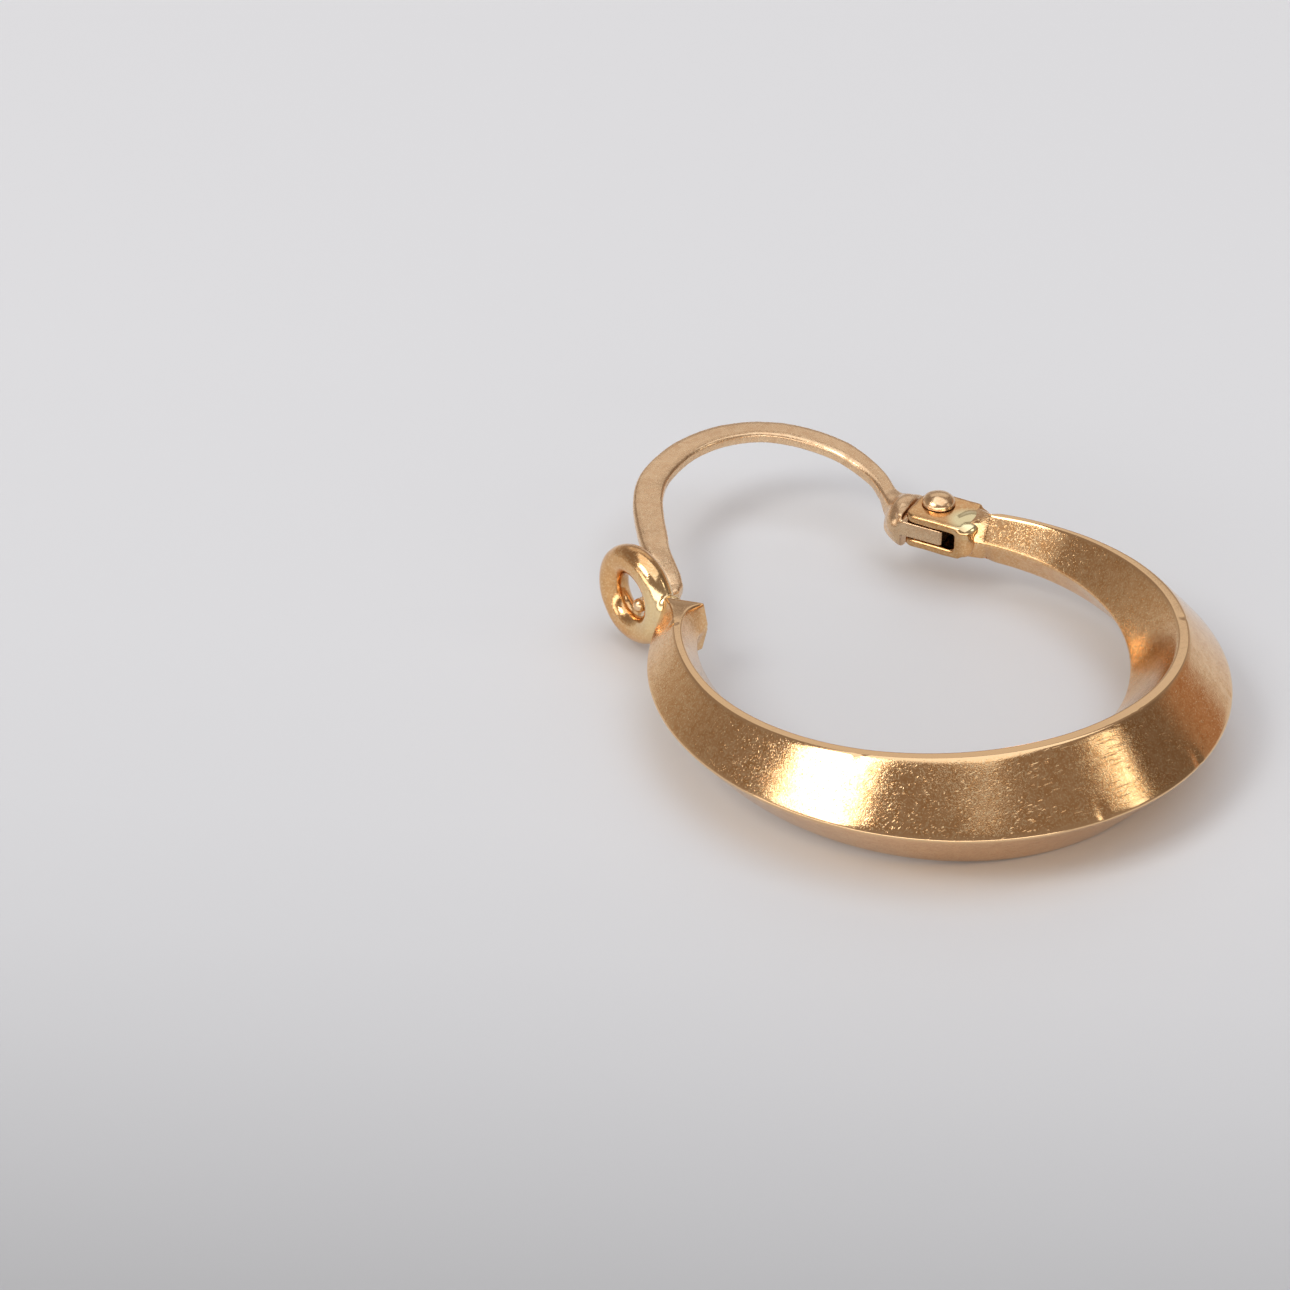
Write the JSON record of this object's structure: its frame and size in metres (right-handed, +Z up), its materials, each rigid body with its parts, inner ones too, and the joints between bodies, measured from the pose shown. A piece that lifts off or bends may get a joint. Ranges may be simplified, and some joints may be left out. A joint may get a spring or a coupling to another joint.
{
  "type": "hoop earring",
  "caption": "Tapered knife-edged gold hoop earring with a flattened ear wire hinged in a riveted fork and closing into a round catch ring.",
  "frame": {"origin": "under the middle of the whole earring, on the surface that it lies on", "axes": "+Z up, square to the plane of the hoop; +Y from the thick bottom of the hoop to the ear wire; +X to the side of the hinge"},
  "size_m": [0.0198, 0.0258, 0.0043],
  "materials": {
    "hoop_gold": "satin gold with fine scratches and bright polished edges",
    "rivet_gold": "polished yellow gold",
    "wire_gold": "matt rose gold"
  },
  "bodies": {
    "hoop": {"hoop": "hoop_gold", "hinge_rivet": "rivet_gold"},
    "ear_wire": {"ear_wire": "wire_gold"}
  },
  "joints": [
    {"name": "ear_wire_hinge", "type": "hinge", "parent": "hoop", "child": "ear_wire", "pos_m": [0.00556, 0.00503, 0.00217], "axis": [0, 0, -1], "range_deg": [0, 95]}
  ]
}
